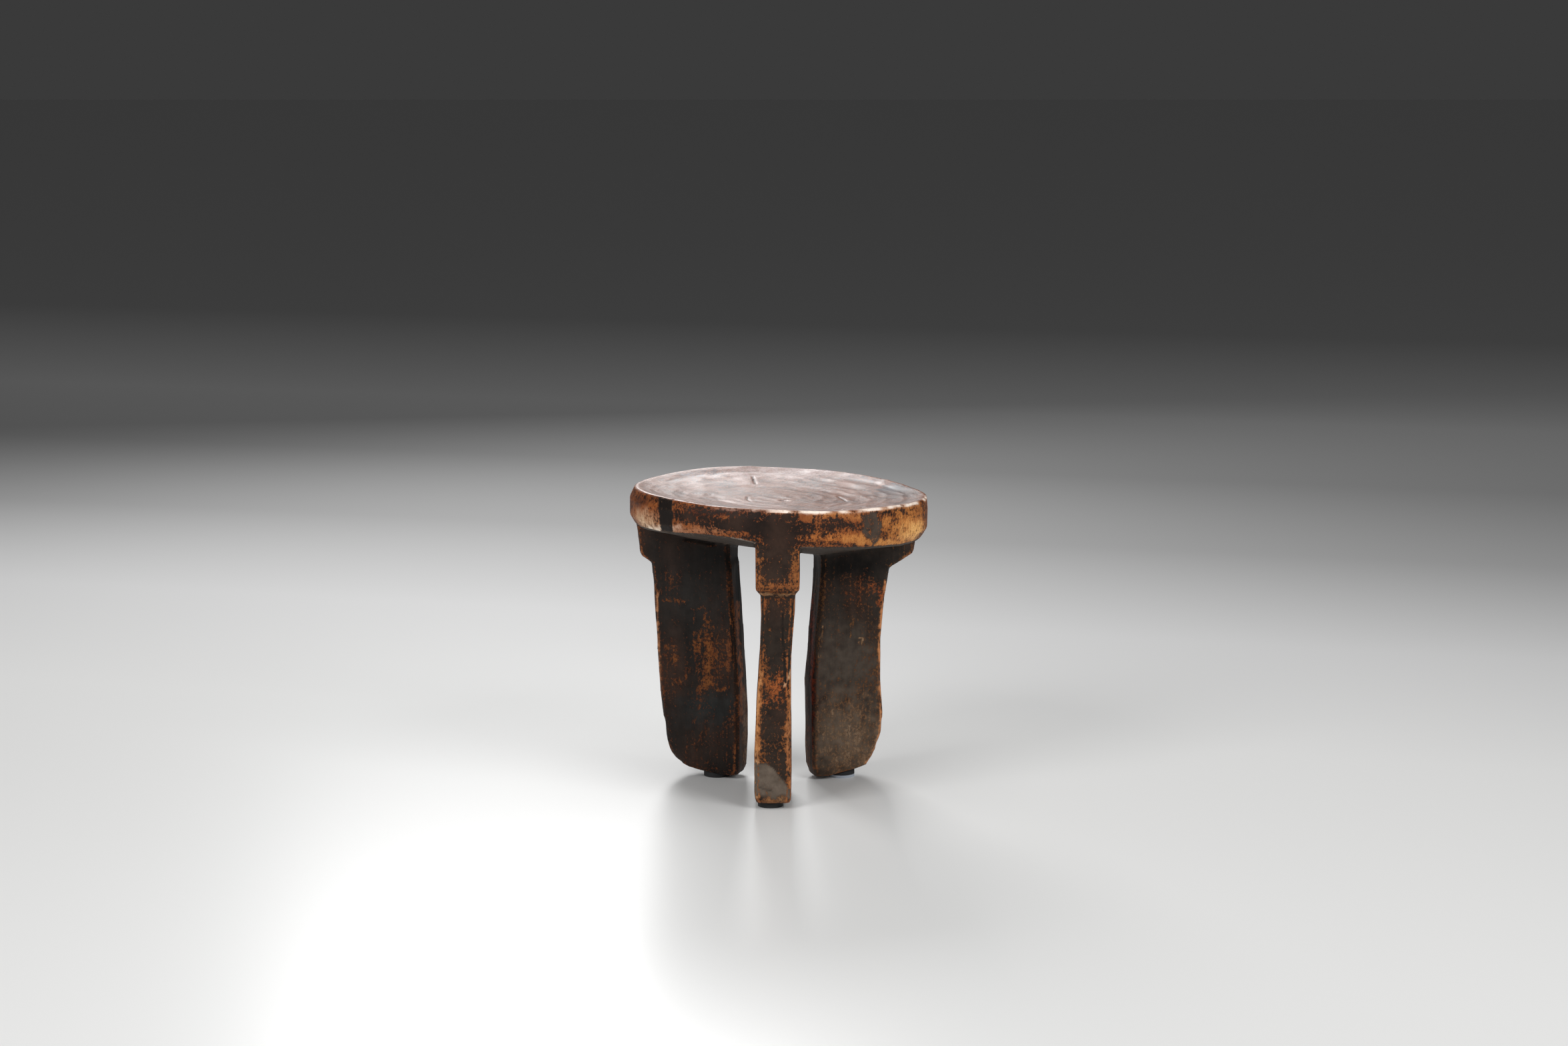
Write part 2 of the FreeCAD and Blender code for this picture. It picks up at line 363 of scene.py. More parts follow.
def hew(out, across, middle, half_width, strokes):
    """Cuts all over one side of a plank, mostly up and down."""
    for _ in range(strokes):
        start = middle + across * cutter.uniform(-half_width, half_width)
        level = cutter.uniform(*plank_levels)
        place, normal = nearest_skin(start + overhead * level, out)
        if place is not None:
            slant = cutter.uniform(-0.15, 0.15)
            cut(place, overhead + slant * across, normal, cutter.uniform(16, 42) * MM,
                cutter.uniform(5, 10) * MM, cutter.uniform(0.25, 0.8) * MM)


for azimuth in plank_azimuths:
    spoke = spoke_at(math.radians(azimuth))
    side = np.cross(overhead, spoke)
    middle = spoke * sum(plank_reach) / 2
    half_length = (plank_reach[1] - plank_reach[0]) / 2
    for way in (1, -1):
        flank = middle + side * way * plank_half_thickness
        hew(side * way, spoke, flank, half_length, cuts_per_flank)
    hew(spoke, side, spoke * plank_reach[1], plank_half_thickness, cuts_per_end)
    hew(-spoke, side, spoke * plank_reach[0], plank_half_thickness, cuts_per_end)
print("deepest cut, mm:", round(depth.max() / MM, 2))

# %% [markdown]
# ## Cracks, nicks and chips
#
# Old wood that dried from one block always checks, and a stool that is dragged about gets nicked along
# its edges. Cracks are narrow grooves along a few points, nicks are small deep cuts. Cutting each with
# a solid would be exact but slow, and points pressed inwards never leave the measured block. Those on
# the side that the camera sees are named by the pixel where it sees them, and dropped on to the wood.

# %% Grooves along points that the camera sees


def wood_under(u, v):
    """Place and outward direction of the wood under a pixel of the image, or nearest beside it."""
    ray = ray_through(u, v)
    place, normal, _, _ = surface.ray_cast(camera_place, ray)
    if place is None:
        place, normal, _, _ = surface.find_nearest(camera_place + ray * camera_place.length)
    return np.array(place), np.array(normal)


def groove(places, half_width, deep):
    """Press a narrow groove along a line of places, fading out at its ends."""
    for start, end in zip(places, places[1:]):
        near = points_near((start + end) / 2, np.linalg.norm(end - start))
        share = (points[near] - start) @ (end - start) / ((end - start) @ (end - start))
        foot = start + np.clip(share, 0, 1)[:, None] * (end - start)
        off = np.linalg.norm(points[near] - foot, axis=1)
        pressed = deep * np.exp(-(off / half_width) ** 2)
        depth[near] = np.maximum(depth[near], pressed)
        crack[near] = np.maximum(crack[near], pressed / deepest_crack)


crack = np.zeros(len(points))
crack_half_width = 1.1 * MM
deepest_crack = 1.8 * MM
seen_cracks = {
    # where: pixels along the crack, depth in mm
    "down the front plank": ([(1173, 921), (1172, 940), (1173, 956), (1176, 990), (1177, 1024)], 1.4),
    "across the front plank": ([(1176, 983), (1183, 984)], 1.5),
    "low on the front plank": ([(1137, 1180), (1146, 1184), (1155, 1185)], 1.0),
    "top of the left plank": ([(1025, 808), (1045, 811), (1070, 816)], 1.8),
    "groove in the left plank": ([(1096, 938), (1098, 975), (1097, 1012)], 1.2),
    "scratch in the right plank": ([(1231, 940), (1230, 962), (1228, 985)], 0.8),
    "check in the seat, middle": ([(1128, 714), (1130, 719), (1132, 725)], 0.8),
    "check in the seat, front": ([(1121, 744), (1120, 748), (1125, 751)], 0.8),
    "check in the seat, right": ([(1256, 744), (1262, 747), (1268, 751)], 0.9),
    "scratch in the rim": ([(1291, 795), (1297, 794), (1304, 795)], 0.8),
}
for pixels, deep_mm in seen_cracks.values():
    groove([wood_under(u, v)[0] for u, v in pixels], crack_half_width, deep_mm * MM)
print("cracks:", len(seen_cracks))

# %% Nicks along the edges, a pit in the seat and a knot
upright_limit = 0.6
seen_nicks = (
    # u, v, half length and half width in mm, depth in mm
    (1237, 761, 3.0, 1.6, 1.6), (1257, 763, 4.0, 1.8, 2.2), (1293, 760, 3.0, 1.5, 1.5),
    (1352, 756, 3.5, 2.0, 1.8), (1010, 748, 3.0, 1.5, 1.2), (1031, 752, 2.5, 1.5, 1.2),
    (1176, 750, 7.0, 5.0, 0.9), (1007, 990, 3.2, 2.0, 1.8), (1290, 960, 2.6, 2.0, 1.0),
    (1003, 799, 3.0, 2.0, 1.2), (1182, 1028, 9.0, 2.2, 1.4), (1360, 838, 3.0, 2.0, 1.2),
    (1350, 846, 3.0, 2.0, 1.4), (985, 880, 4.0, 3.0, 1.6), (1108, 850, 4.0, 2.5, 1.2),
)
for u, v, length_mm, width_mm, deep_mm in seen_nicks:
    place, normal = wood_under(u, v)
    along = overhead if abs(normal[2]) < upright_limit else np.array((1.0, 0, 0))
    cut(place, along, normal, length_mm * MM, width_mm * MM, deep_mm * MM)

edge_nicks = 90
edge_radii = np.array((148, 144.3, 0)) * MM
edge_level = 303 * MM
for _ in range(edge_nicks):
    edge = spoke_at(cutter.uniform(0, 2 * math.pi)) * edge_radii + overhead * edge_level
    place, normal, _, _ = surface.find_nearest(Vector(edge))
    cut(np.array(place), np.cross(normal, overhead) + cutter.uniform(-1, 1, 3),
        np.array(normal), cutter.uniform(1.5, 4) * MM, cutter.uniform(1.2, 2.5) * MM,
        cutter.uniform(0.3, 1.0) * MM)
print("nicks:", len(seen_nicks), "seen and", edge_nicks, "strewn")

# %% [markdown]
# ## The uneven skin
#
# Between the cuts the wood isn't flat either. Broad swells come from a noise of some 30 mm, fine
# upright ridges from a noise that is stretched along the grain, which runs up the block. A bump in the
# material could feign them, but only real relief catches the light that grazes the wood.

# %% Swells and fibre ridges


def noise_at(size_mm, stretch=1.0, shift=0.0):
    """Noise from 0 to 1 with features of this size, stretched up and down by a factor."""
    scaled = points / (size_mm * MM) + shift
    scaled[:, 2] /= stretch
    return np.array([noise.noise(place) for place in scaled.tolist()]) / 2 + 0.5


swell_depth = 0.7 * MM * (1 - 0.5 * region["top"])
ridge_depth = 0.35 * MM * (1 - 0.5 * region["rim"])
ridge = noise_at(2.4, 14) * (np.abs(up) < upright_limit)
depth += swell_depth * noise_at(30) + ridge_depth * ridge
points -= normals * depth[:, None]
block.data.vertices.foreach_set("co", points.ravel())
block.data.update()
print("carved, deepest mm:", round(depth.max() / MM, 2))

# %% Where the skin bends outwards
links = np.empty(len(block.data.edges) * 2, int)
block.data.edges.foreach_get("vertices", links)
links = links.reshape(-1, 2)
link_count = np.bincount(links.ravel(), minlength=len(points))


def spread(values, times):
    """Average each point's value with its neighbours', a number of times."""
    for _ in range(times):
        around = np.bincount(links[:, 0], values[links[:, 1]], len(values))
        around += np.bincount(links[:, 1], values[links[:, 0]], len(values))
        values = (values + around / link_count) / 2
    return values


skin_normals = read("normal")
step = points[links[:, 1]] - points[links[:, 0]]
step /= np.linalg.norm(step, axis=1)[:, None]
bend = np.bincount(links[:, 0], -(step * skin_normals[links[:, 0]]).sum(axis=1), len(points))
bend += np.bincount(links[:, 1], (step * skin_normals[links[:, 1]]).sum(axis=1), len(points))
bend /= link_count
edge_bend = spread(bend, 3)
crest_bend = spread(bend, 1)
print("bend of the skin, 90th and 99th share:", np.percentile(edge_bend, (90, 99)).round(3))

# %% [markdown]
# ## Staining
#
# The wood shows three things: its own colour, which runs from cream and gold on the rubbed rim to
# rust on the planks; a coat of oil, soot and handling that covers it nearly black; and how much of that
# coat is left. Each point gets these as attributes, laid on in soft patches like a stain from a rag.
# A painted picture could hold them too, but numbers on the points need no unwrapping and stay in place
# when the block is divided. The fine speckle, where the coat breaks up over the grain, is left to the
# material. Some patches paint light and shade, not the wood's own colour: highlights on the seat's
# front edge and on the rim's ends, tints of the sheen on the seat, and shade on the planks under the
# rim.

# %% Colours of bare wood and of the coat


def linear(hex_colour):
    """Linear light of an sRGB colour written as six hex digits."""
    parts = np.array([int(hex_colour[place:place + 2], 16) for place in (0, 2, 4)]) / 255
    return np.where(parts <= 0.04045, parts / 12.92, ((parts + 0.055) / 1.055) ** 2.4)


def lay(values, share, value):
    """Lay a value or a colour over what is there, by its share at each point."""
    if values.ndim > 1:
        share = share[:, None]
    values += (np.asarray(value) - values) * share


bare = np.empty((len(points), 3))
coat = np.empty((len(points), 3))
cover = np.empty(len(points))
gloss = np.empty(len(points))
base_looks = {
    # region: bare wood, coat, cover, gloss
    "top": ("a07866", "55403a", 0.42, 0.91),
    "rim": ("a96a38", "21150f", 0.60, 0.35),
    "under": ("7a7068", "3a342f", 0.62, 0.15),
    "front": ("a5703f", "2a211a", 0.84, 0.30),
    "left": ("84542f", "1d1713", 0.90, 0.30),
    "right": ("8f6a44", "2f2721", 0.84, 0.25),
}
for name, (bare_hex, coat_hex, covered, shine) in base_looks.items():
    inside = region[name]
    bare[inside] = linear(bare_hex)
    coat[inside] = linear(coat_hex)
    cover[inside] = covered
    gloss[inside] = shine

# %% Uneven warmth, cover and gloss, from noises of 8 to 30 mm
planks = region["front"] | region["left"] | region["right"]
coated = planks | region["rim"]
warm = np.clip(3 * (noise_at(22, 2.5, 9.0) - 0.38), 0, 1)
lay(coat, 0.8 * warm * coated, linear("34231a"))
cover -= 0.12 * warm * planks
cover += 0.5 * (noise_at(30, 1.5, 4.0) - 0.5) * coated
gloss -= 0.35 * noise_at(14, 1.0, 3.0) * region["top"]
seat_cover = 0.5 * (noise_at(26, 1.0, 7.0) - 0.5) + 0.4 * (noise_at(8, 1.0, 8.0) - 0.5)
cover += seat_cover * region["top"]
print("middling cover of planks and rim:", round(float(cover[coated].mean()), 2))

# %% Patches that the camera sees
seen_u, seen_v = pixels_of(points)
ragged = noise_at(9) - 0.5
ragged_fine = noise_at(3.2, 1.5, 5.0) - 0.5


def patch(name, u, v, half_u, half_v, tilt_deg, soft):
    """Share from 0 to 1 of a ragged oval patch, in pixels, on the seen side of one region."""
    turn = math.radians(tilt_deg)
    right = (seen_u - u) * math.cos(turn) - (seen_v - v) * math.sin(turn)
    down = (seen_u - u) * math.sin(turn) + (seen_v - v) * math.cos(turn)
    far = np.hypot(right / half_u, down / half_v) + 0.7 * ragged + 0.35 * ragged_fine
    return np.clip((1 - far) / soft, 0, 1) * region[name] * facing_camera


def lay_patches(values, patches):
    """Lay a table of patches over what is there, each with its colour or its value."""
    for *oval, look in patches:
        lay(values, patch(*oval), linear(look) if isinstance(look, str) else look)


def stroke(name, pixels, half_width):
    """Share from 0 to 1 of a ragged line along pixels, on the seen side of one region."""
    seen = np.c_[seen_u, seen_v]
    nearest = np.full(len(points), np.inf)
    for start, end in zip(np.array(pixels, float), np.array(pixels[1:], float)):
        along = end - start
        share = np.clip((seen - start) @ along / (along @ along), 0, 1)
        off = np.linalg.norm(seen - start - share[:, None] * along, axis=1)
        nearest = np.minimum(nearest, off)
    far = nearest / half_width + 1.2 * ragged + 1.4 * ragged_fine
    return np.clip(1 - far, 0, 1) * region[name] * facing_camera


lay_patches(bare, (
    # region, u, v, half sizes, tilt in degrees, softness, colour
    # left end of the rim: pale bare wood (e6cdb0), and a painted highlight along its lower edge
    # (ecdfd0)
    ("rim", 958, 788, 46, 30, 0, 0.9, "e6cdb0"), ("rim", 975, 797, 60, 11, 5, 0.8, "ecdfd0"),
    ("rim", 955, 752, 44, 13, 15, 0.6, "84502f"), ("rim", 1055, 795, 66, 12, 4, 0.8, "b88460"),
    ("rim", 1090, 766, 120, 12, 4, 0.8, "7d4222"), ("rim", 1207, 774, 11, 9, 0, 0.3, "985a2e"),
    ("rim", 1250, 770, 46, 12, 0, 0.8, "c4894f"), ("rim", 1260, 806, 80, 14, -4, 0.7, "c28145"),
    # right end of the rim: golden bare wood (dca05a), and a painted highlight low on it (fbcf8c)
    ("rim", 1365, 785, 70, 40, 0, 0.9, "dca05a"), ("rim", 1378, 800, 40, 22, 0, 0.8, "fbcf8c"),
    ("rim", 1320, 812, 80, 12, -6, 0.8, "d59b58"),
    ("front", 1166, 866, 40, 24, 0, 0.8, "ad7443"), ("front", 1163, 1196, 26, 14, 0, 0.8, "a5825f"),
    ("front", 1165, 1035, 26, 40, 0, 0.8, "b9743f"), ("left", 1065, 960, 60, 90, 0, 0.8, "94602f"),
    ("right", 1270, 1110, 90, 90, 0, 0.9, "a89580"), ("right", 1290, 880, 60, 40, 0, 0.9, "a0663a"),
    ("right", 1215, 1000, 10, 190, 0, 0.6, "74301c"), ("under", 1100, 812, 44, 12, 0, 0.8, "b5b0aa"),
    # painted sheen: a pale lilac band across the back of the seat
    ("top", 1190, 707, 190, 14, 0, 0.9, "c0b0b0"),
))

lay_patches(coat, (
    # region, u, v, half sizes, tilt in degrees, softness, colour
    # painted reflection: dark bluish-grey tints at the right end of the seat, where its sheen is weaker
    ("top", 1345, 728, 60, 13, 8, 0.8, "454147"), ("top", 1300, 716, 30, 8, 8, 0.7, "48444c"),
    # the lilac-grey tint on the left (625a5f) is painted sheen as well
    ("top", 1178, 749, 12, 4, 0, 0.6, "40383c"), ("top", 1040, 712, 40, 6, -8, 0.7, "625a5f"),
    # painted sheen: the lilac-grey coat under the pale band at the back of the seat
    ("top", 1190, 707, 190, 14, 0, 0.9, "746a6e"),
    ("front", 1163, 1196, 26, 12, 0, 0.6, "4c3d31"),
    ("right", 1270, 1000, 90, 80, 0, 0.9, "4e443b"), ("right", 1270, 1110, 90, 90, 0, 0.8, "635446"),
    # painted shade: near-black coat high on the right plank, under the rim (100b08)
    ("right", 1270, 850, 90, 30, 0, 0.8, "100b08"), ("right", 1215, 1000, 10, 190, 0, 0.6, "1c0f0b"),
    # painted shade: near-black coat high on the left plank, under the rim (15110e)
    ("left", 1070, 838, 60, 30, 0, 0.8, "15110e"), ("left", 1060, 1060, 60, 40, 0, 0.8, "232423"),
    ("left", 1030, 900, 90, 60, 0, 0.9, "221e1b"), ("rim", 1307, 790, 16, 29, 5, 0.3, "463a31"),
    # painted shade: near-black coat at the tops of the rear planks' inner ends, in the crease under the
    # seat
    ("left", 1109, 860, 9, 60, 0, 0.5, "100d0b"), ("right", 1210, 860, 10, 50, 0, 0.5, "0e0b09"),
))

# %% Where the camera sees the coat thick or worn thin, and where the cover helps paint light and shade
lay_patches(cover, (
    # region, u, v, half sizes, tilt in degrees, softness, cover
    # on the seat: thick coat under the painted dark reflection at the right end, thin coat under the
    # painted sheen band at the back
    ("top", 1350, 735, 56, 16, 8, 0.8, 0.88), ("top", 1190, 707, 150, 12, 0, 0.9, 0.22),
    # the rim from left to right
    # at the left end the coat is thin, and gone under the painted highlight along the lower edge
    ("rim", 958, 775, 40, 44, 0, 0.8, 0.18), ("rim", 980, 797, 90, 10, 6, 0.6, 0.02),
    ("rim", 955, 750, 44, 9, 12, 0.6, 0.45), ("rim", 1040, 768, 60, 14, 5, 0.7, 0.78),
    ("rim", 1040, 795, 60, 10, 6, 0.6, 0.30), ("rim", 1105, 783, 74, 17, 5, 0.7, 0.96),
    ("rim", 1090, 803, 50, 6, 5, 0.6, 0.45), ("rim", 1160, 795, 62, 34, 0, 0.6, 1.0),
    ("rim", 1110, 764, 110, 7, 4, 0.7, 0.84), ("rim", 1240, 790, 44, 20, 0, 0.8, 0.72),
    ("rim", 1245, 770, 50, 9, 0, 0.8, 0.34), ("rim", 1235, 808, 50, 8, -3, 0.7, 0.50),
    ("rim", 1258, 784, 26, 10, 0, 0.6, 0.88), ("rim", 1280, 775, 16, 12, 0, 0.7, 0.25),
    ("rim", 1280, 802, 30, 14, 0, 0.8, 0.20), ("rim", 1325, 785, 28, 26, 0, 0.8, 0.46),
    # thin coat at the right end, under its golden wood and painted highlight
    ("rim", 1370, 790, 50, 40, 0, 0.8, 0.24), ("rim", 1376, 768, 14, 14, 0, 0.7, 0.42),
    ("rim", 1310, 813, 70, 8, -5, 0.6, 0.12), ("rim", 1208, 774, 11, 9, 0, 0.3, 0.02),
    ("rim", 1307, 790, 15, 28, 5, 0.3, 0.84), ("under", 1112, 812, 30, 12, 0, 0.8, 0.1),
    # full cover at the tops of the rear planks' inner ends holds their painted shade under the seat
    ("under", 1216, 824, 24, 8, 0, 0.8, 0.2), ("left", 1109, 860, 9, 60, 0, 0.5, 1.0),
    ("right", 1210, 860, 10, 50, 0, 0.5, 1.0),
    # the front plank from the shoulder down
    ("front", 1160, 840, 26, 40, 0, 0.8, 0.92), ("front", 1190, 855, 12, 40, 0, 0.9, 0.50),
    ("front", 1172, 876, 34, 12, 0, 0.8, 0.56), ("front", 1140, 866, 12, 12, 0, 0.8, 0.62),
    ("front", 1163, 945, 26, 52, 0, 0.6, 0.92), ("front", 1158, 1030, 18, 28, 12, 0.8, 0.42),
    ("front", 1165, 1075, 22, 14, 0, 0.8, 0.94), ("front", 1165, 1115, 22, 24, 0, 0.8, 0.78),
    ("front", 1163, 1198, 26, 10, 0, 0.6, 0.45),
    # the left plank
    ("left", 1066, 985, 38, 62, 0, 0.9, 0.66), ("left", 1005, 870, 14, 26, 0, 0.8, 0.66),
    # full cover high on the left plank holds its painted shade under the rim
    ("left", 1050, 835, 80, 36, 0, 0.8, 0.97), ("left", 1050, 1135, 70, 26, 0, 0.8, 0.80),
    # the right plank
    # full cover high on the right plank holds its painted shade under the rim
    ("right", 1290, 845, 100, 28, 0, 0.8, 0.98), ("right", 1215, 1000, 10, 190, 0, 0.6, 0.78),
    ("right", 1290, 880, 36, 30, 0, 0.9, 0.66), ("right", 1270, 1090, 90, 70, 0, 0.9, 0.58),
    ("right", 1280, 1130, 70, 40, 0, 0.9, 0.50),
))

# %% Lines of wear that the camera sees
seen_wear = (
    # region, pixels along the line, half width, colour of the bare wood, cover
    ("left", [(986, 890), (985, 930), (987, 1000), (990, 1060), (993, 1100), (1000, 1135)],
     3, "c29570", 0.2),
    ("left", [(1104, 905), (1107, 960), (1110, 1020), (1112, 1080)], 6, "a86c3c", 0.25),
    ("left", [(1116, 1040), (1117, 1100), (1116, 1150)], 6, "86705a", 0.4),
    ("left", [(1060, 945), (1063, 980), (1064, 1025)], 12, "94602f", 0.42),
    ("left", [(1046, 950), (1048, 975)], 9, "94602f", 0.45),
    ("left", [(1091, 950), (1091, 1004)], 4.5, "8c5a35", 0.38),
    ("left", [(996, 900), (1024, 901)], 5.5, "94602f", 0.5),
    ("left", [(1038, 914), (1057, 909), (1059, 932)], 5, "94602f", 0.5),
    ("left", [(1000, 968), (1010, 974), (1012, 990)], 7, "94602f", 0.42),
    ("left", [(1020, 1020), (1028, 1018)], 7, "94602f", 0.5),
    ("left", [(1046, 1036), (1056, 1022)], 7, "94602f", 0.48),
    ("left", [(1078, 1036), (1090, 1030)], 5, "94602f", 0.5),
    ("right", [(1327, 872), (1321, 927), (1317, 969), (1320, 1004), (1320, 1053), (1320, 1100),
               (1309, 1129), (1299, 1143)], 3.2, "d8a070", 0.1),
    ("right", [(1340, 852), (1356, 843), (1372, 834), (1376, 815)], 3, "c07a48", 0.3),
    ("right", [(1308, 880), (1322, 893), (1316, 905)], 8, "b87240", 0.5),
    ("right", [(1232, 940), (1230, 962), (1228, 985)], 2.4, "b09a80", 0.2),
    ("right", [(1218, 890), (1217, 960), (1217, 1010), (1219, 1070)], 4, "8a3f22", 0.4),
    ("right", [(1288, 956), (1293, 958), (1291, 964), (1287, 962)], 2.2, "b09a80", 0.2),
    ("front", [(1138, 890), (1166, 893), (1194, 890)], 3.2, "b89c7c", 0.12),
    ("front", [(1139, 950), (1139, 1010)], 3, "b8814f", 0.35),
    ("front", [(1138, 1010), (1136, 1060), (1134, 1130)], 7, "d8a26c", 0.18),
    ("front", [(1134, 1130), (1132, 1180), (1134, 1196)], 5, "cfa880", 0.1),
    ("front", [(1192, 900), (1188, 960), (1186, 1010)], 2.6, "d08c50", 0.2),
    ("front", [(1185, 1010), (1184, 1060), (1186, 1150), (1184, 1180)], 4.5, "cf945f", 0.2),
    ("front", [(1181, 1085), (1180, 1120), (1182, 1150)], 6, "bd875a", 0.35),
    ("front", [(1176, 1028), (1184, 1008)], 2.6, "d2b79a", 0.2),
    ("front", [(1150, 1048), (1168, 1018)], 9, "b9743f", 0.42),
    ("front", [(1134, 830), (1134, 870)], 2.5, "b87f4e", 0.45),
    ("front", [(1197, 815), (1196, 880)], 3.5, "c0854c", 0.4),
)
for name, pixels, half_width, colour, amount in seen_wear:
    share = stroke(name, pixels, half_width)
    lay(bare, share, linear(colour))
    lay(cover, share, amount)
print("lines of wear:", len(seen_wear))

# %% The dusty foot of the front plank, cut off by a slant, and dull patches
slant_u, slant_v, slant_fall = 1149, 1142, 1.1
foot_end_v = 1196
below_slant = seen_v - slant_v - slant_fall * np.clip(seen_u - slant_u, 0, None) + 10 * ragged
foot_patch = np.clip(below_slant / 3, 0, 1)
foot_patch *= np.clip((foot_end_v - seen_v + 20 * ragged) / 5, 0, 1)
foot_patch *= region["front"] * facing_camera
lay(coat, foot_patch, linear("62564b"))
lay(cover, foot_patch, 0.98)
lay(gloss, foot_patch, 0.05)
lay_patches(gloss, (
    # region, u, v, half sizes, tilt in degrees, softness, gloss
    ("top", 1000, 727, 52, 16, 0, 0.9, 0.7), ("right", 1270, 1120, 90, 60, 0, 0.9, 0.15),
    ("right", 1215, 1000, 10, 190, 0, 0.6, 0.1),
))
print("points of the dusty foot:", int((foot_patch > 0).sum()))

# %% The charred band down the left of the rim
rim_top_v, rim_bottom_v = 745, 797
down_rim = np.clip((seen_v - rim_top_v) / (rim_bottom_v - rim_top_v), 0, 1)
band_left = 985 + 5 * down_rim + 3 * ragged_fine
band_right = 1008 + down_rim + 3 * ragged_fine
band = np.clip(seen_u - band_left, 0, 2) * np.clip(band_right - seen_u, 0, 2) / 4
band *= region["rim"] * facing_camera
lay(cover, band, 0.97)
lay(coat, band, linear("1a120e"))
lay(bare, band, linear("6b5442"))
print("points of the charred band:", int((band > 0).sum()))

# %% Patches out of sight, strewn about
hidden_patches = 70
hidden_bare = ("b57a3f", "a8642f", "8f4f2a", "c79256")
for _ in range(hidden_patches):
    place = points[cutter.integers(len(points))]
    half_size = cutter.uniform(8, 26) * MM
    amount = cutter.uniform(0.35, 0.97)
    colour = linear(hidden_bare[cutter.integers(len(hidden_bare))])
    away = (points - place) / (half_size, half_size, 1.6 * half_size)
    share = np.clip((1 - np.linalg.norm(away, axis=1) - 0.8 * ragged) / 0.7, 0, 1)
    share *= (1 - facing_camera) * coated
    lay(cover, share, amount)
    lay(bare, share, colour)
print("patches out of sight:", hidden_patches)

# %% Worn edges of the planks
radius = np.hypot(points[:, 0], points[:, 1])
outer_from, outer_full = 118 * MM, 130 * MM
least_bend, full_bend = 0.03, 0.09
worn_stretch = np.clip(6 * (noise_at(40, 2, 2.0) - 0.5), 0, 1)
worn_stretch *= np.clip(0.3 + 1.2 * noise_at(7, 2, 6.0), 0, 1)
outermost = np.clip((radius - outer_from) / (outer_full - outer_from), 0, 1)
outermost *= points[:, 2] < below_seat
worn_stretch = np.maximum(worn_stretch, outermost * (0.4 + 0.6 * noise_at(9, 2, 6.0)))
rubbed = np.clip((edge_bend - least_bend) / (full_bend - least_bend), 0, 1) * worn_stretch
sooty_shaft = patch("front", 1157, 946, 34, 54, 0, 0.4)
sooty_right_u = 1187
rubbed *= 1 - sooty_shaft
lay(cover, 0.8 * sooty_shaft * (seen_u < sooty_right_u), 0.97)
lay(cover, rubbed * planks, 0.15)
lay(bare, rubbed * planks, linear("b3784a"))
print("points of rubbed edge:", int((rubbed * planks > 0.5).sum()))

# %% Bare crests, and dirt in hollows and cracks
lay(cover, np.clip(crest_bend / 0.08, 0, 0.35) * coated, 0.3)
hollow = np.clip(-crest_bend / 0.05, 0, 1)
lay(cover, 0.5 * hollow * ~region["top"], 0.95)
lay(cover, np.clip(edge_bend / 0.04, 0, 0.6) * region["top"], 0.1)
lay(cover, np.clip(-edge_bend / 0.04, 0, 0.5) * region["top"], 0.85)
split = np.clip(1.6 * crack - 0.35, 0, 1)
lay(cover, split, 0.99)
lay(coat, split, linear("17120f"))
lay(gloss, split, 0.0)
print("points in cracks:", int((split > 0).sum()))

# %% A painted highlight along the upper front edge of the seat, and wear along the rest of the edge
rim_edge_level = 294 * MM
highlight_from_u, highlight_full_u = 1020, 1180
edge_up = np.clip((up - 0.38) / 0.12, 0, 1) * np.clip((0.985 - up) / 0.05, 0, 1)
edge_up *= seat & (points[:, 2] > rim_edge_level) & (radius > 0.9 * seat_radius)
edge_up = np.clip(2.4 * spread(edge_up, 2), 0, 1)
in_front = points[:, 1] < 0
front_highlight = np.clip((seen_u - highlight_from_u) / (highlight_full_u - highlight_from_u), 0, 1)
front_highlight *= (facing > 0) * in_front
edge_wear_and_highlight = np.clip((noise_at(12) - 0.25) * 3, 0, 1) * edge_up
edge_wear_and_highlight *= np.where(in_front, front_highlight, 1)
lay(cover, edge_wear_and_highlight, 0.25)
# painted highlight: near-white wood with no coat, where the camera sees the front edge
lay(bare, edge_wear_and_highlight * front_highlight, linear("fff4ea"))
lay(cover, edge_wear_and_highlight * front_highlight, 0.0)
lay(gloss, edge_wear_and_highlight, 0.8)
print("points of the cream line:", int((edge_wear_and_highlight * front_highlight > 0).sum()))

# %% Hand the columns to the mesh
for name, colour in (("bare", bare), ("coat", coat)):
    column = block.data.color_attributes.new(name, "FLOAT_COLOR", "POINT")
    column.data.foreach_set("color", np.c_[colour, np.ones(len(points))].ravel())
for name, values in (("cover", cover), ("gloss", gloss)):
    block.data.attributes.new(name, "FLOAT", "POINT").data.foreach_set("value", values)
skin = block.data.attributes.new("skin", "FLOAT_VECTOR", "POINT")
skin.data.foreach_set("vector", read("normal").ravel())
print("columns:", [column.name for column in block.data.attributes if not column.name.startswith(".")])

# %% [markdown]
# ## Oiled, hand-worn carved wood
#
# Hardwood, hewn and never sanded, then darkened by smoke, oil and hands. The coat is dark, and where it
# is thin it breaks up over the upright grain into speckle and streaks. An image could show all this,
# but noises on the object's own coordinates run on through every cut and need no unwrapping. The
# pattern scales are real: pores and fibres of about a millimetre, speckle of two to three, growth
# rings of some nine round the middle of the log.

# %% A small helper for shader nodes


def add(tree, kind, inputs=None, **settings):
    """Add a shader node, set it, and give its sockets a value or another node's output."""
    node = tree.nodes.new("ShaderNode" + kind)
    for key, value in settings.items():
        setattr(node, key, value)
    for socket, value in (inputs or {}).items():
        if isinstance(value, bpy.types.NodeSocket):
            tree.links.new(value, node.inputs[socket])
        else:
            node.inputs[socket].default_value = value
    return node


def new_material(name):
    """Empty material with its shader and output ready."""
    material = bpy.data.materials.new(name)
    material.use_nodes = True
    tree = material.node_tree
    return material, tree, tree.nodes["Principled BSDF"]


